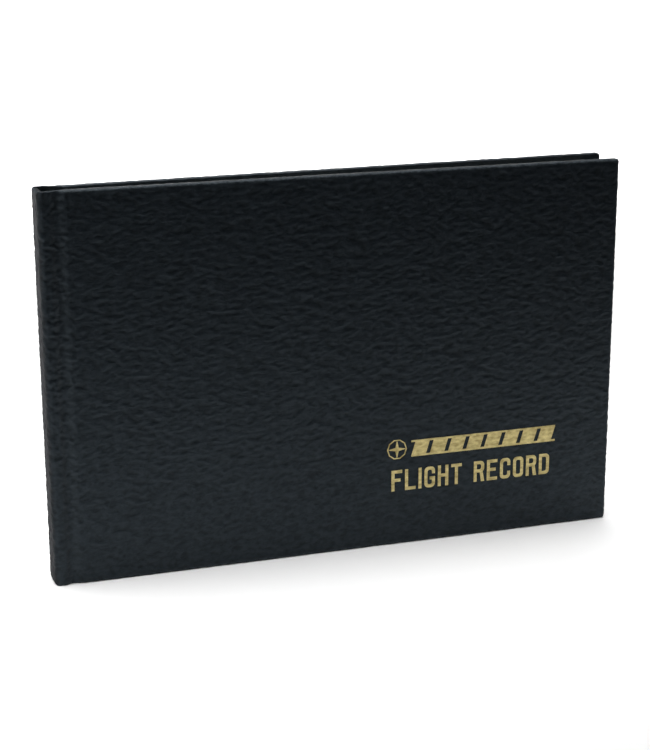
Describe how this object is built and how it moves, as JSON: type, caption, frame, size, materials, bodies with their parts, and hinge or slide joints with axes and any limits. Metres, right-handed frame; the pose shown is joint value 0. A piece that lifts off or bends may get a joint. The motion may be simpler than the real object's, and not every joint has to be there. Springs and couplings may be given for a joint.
{
  "type": "pilot logbook",
  "caption": "Landscape hardcover logbook in pebbled blue-black leatherette with a gold foil stamp, hinged covers and leaves that fan open.",
  "frame": {"origin": "middle of the standing book's footprint, on the surface it stands on", "axes": "+Z from tail to head along the spine, +X from the spine to the fore edge, -Y out of the front cover"},
  "size_m": [0.204, 0.0176, 0.1334],
  "materials": {
    "leatherette": "satin",
    "gold_foil": "satin",
    "greyboard": "matte",
    "endpaper": "matte",
    "ledger_paper": "matte",
    "spine_card": "matte",
    "crash_cloth": "matte",
    "band_cloth": "satin",
    "linen_thread": "matte"
  },
  "bodies": {
    "spine": {"spine_inlay": "spine_card", "spine_covering": "leatherette", "front_joint": "leatherette", "back_joint": "leatherette", "spine_liner": "spine_card", "mull": "crash_cloth", "head_band": "band_cloth", "tail_band": "band_cloth", "sewing_thread": "linen_thread", "front_flyleaf_hinge": "endpaper", "back_flyleaf_hinge": "endpaper", "section_1_fold": "ledger_paper", "section_2_fold": "ledger_paper", "section_3_fold": "ledger_paper", "section_4_fold": "ledger_paper", "section_5_fold": "ledger_paper", "section_6_fold": "ledger_paper", "section_7_fold": "ledger_paper", "section_8_fold": "ledger_paper"},
    "front_cover": {"front_board": "greyboard", "front_covering": "leatherette", "front_pastedown": "endpaper", "foil_emblem": "gold_foil", "foil_bars": "gold_foil", "foil_letter_1": "gold_foil", "foil_letter_2": "gold_foil", "foil_letter_3": "gold_foil", "foil_letter_4": "gold_foil", "foil_letter_5": "gold_foil", "foil_letter_6": "gold_foil", "foil_letter_7": "gold_foil", "foil_letter_8": "gold_foil", "foil_letter_9": "gold_foil", "foil_letter_10": "gold_foil", "foil_letter_11": "gold_foil", "foil_letter_12": "gold_foil"},
    "back_cover": {"back_board": "greyboard", "back_covering": "leatherette", "back_pastedown": "endpaper"},
    "front_flyleaf": {"front_flyleaf": "endpaper"},
    "back_flyleaf": {"back_flyleaf": "endpaper"},
    "section_1": {"section_1": "ledger_paper"},
    "section_2": {"section_2": "ledger_paper"},
    "section_3": {"section_3": "ledger_paper"},
    "section_4": {"section_4": "ledger_paper"},
    "section_5": {"section_5": "ledger_paper"},
    "section_6": {"section_6": "ledger_paper"},
    "section_7": {"section_7": "ledger_paper"},
    "section_8": {"section_8": "ledger_paper"}
  },
  "joints": [
    {"name": "front_cover_hinge", "type": "hinge", "parent": "spine", "child": "front_cover", "pos_m": [-0.0964, -0.0063, 0], "axis": [0, 0, -1], "range_deg": [-0.8, 179]},
    {"name": "front_flyleaf_turn", "type": "hinge", "parent": "spine", "child": "front_flyleaf", "pos_m": [-0.093, -0.00258, 0], "axis": [0, 0, -1], "range_deg": [-0.37, 82.34]},
    {"name": "section_1_turn", "type": "hinge", "parent": "spine", "child": "section_1", "pos_m": [-0.093, -0.00214, 0], "axis": [0, 0, -1], "range_deg": [-0.33, 71.61]},
    {"name": "section_2_turn", "type": "hinge", "parent": "spine", "child": "section_2", "pos_m": [-0.093, -0.00153, 0], "axis": [0, 0, -1], "range_deg": [-0.25, 55.49]},
    {"name": "section_3_turn", "type": "hinge", "parent": "spine", "child": "section_3", "pos_m": [-0.093, -0.00092, 0], "axis": [0, 0, -1], "range_deg": [-0.18, 39.39]},
    {"name": "section_4_turn", "type": "hinge", "parent": "spine", "child": "section_4", "pos_m": [-0.093, -0.0003, 0], "axis": [0, 0, -1], "range_deg": [-0.11, 23.27]},
    {"name": "back_cover_hinge", "type": "hinge", "parent": "spine", "child": "back_cover", "pos_m": [-0.0964, 0.0063, 0], "axis": [0, 0, 1], "range_deg": [-0.8, 179]},
    {"name": "back_flyleaf_turn", "type": "hinge", "parent": "spine", "child": "back_flyleaf", "pos_m": [-0.093, 0.00258, 0], "axis": [0, 0, 1], "range_deg": [-0.37, 82.34]},
    {"name": "section_8_turn", "type": "hinge", "parent": "spine", "child": "section_8", "pos_m": [-0.093, 0.00214, 0], "axis": [0, 0, 1], "range_deg": [-0.33, 71.61]},
    {"name": "section_7_turn", "type": "hinge", "parent": "spine", "child": "section_7", "pos_m": [-0.093, 0.00153, 0], "axis": [0, 0, 1], "range_deg": [-0.25, 55.49]},
    {"name": "section_6_turn", "type": "hinge", "parent": "spine", "child": "section_6", "pos_m": [-0.093, 0.00092, 0], "axis": [0, 0, 1], "range_deg": [-0.18, 39.39]},
    {"name": "section_5_turn", "type": "hinge", "parent": "spine", "child": "section_5", "pos_m": [-0.093, 0.0003, 0], "axis": [0, 0, 1], "range_deg": [-0.11, 23.27]}
  ],
  "couplings": [
    {"joint": "front_flyleaf_turn", "follows": "front_cover_hinge", "ratio": 0.46},
    {"joint": "section_1_turn", "follows": "front_cover_hinge", "ratio": 0.4},
    {"joint": "section_2_turn", "follows": "front_cover_hinge", "ratio": 0.31},
    {"joint": "section_3_turn", "follows": "front_cover_hinge", "ratio": 0.22},
    {"joint": "section_4_turn", "follows": "front_cover_hinge", "ratio": 0.13},
    {"joint": "back_flyleaf_turn", "follows": "back_cover_hinge", "ratio": 0.46},
    {"joint": "section_8_turn", "follows": "back_cover_hinge", "ratio": 0.4},
    {"joint": "section_7_turn", "follows": "back_cover_hinge", "ratio": 0.31},
    {"joint": "section_6_turn", "follows": "back_cover_hinge", "ratio": 0.22},
    {"joint": "section_5_turn", "follows": "back_cover_hinge", "ratio": 0.13}
  ]
}
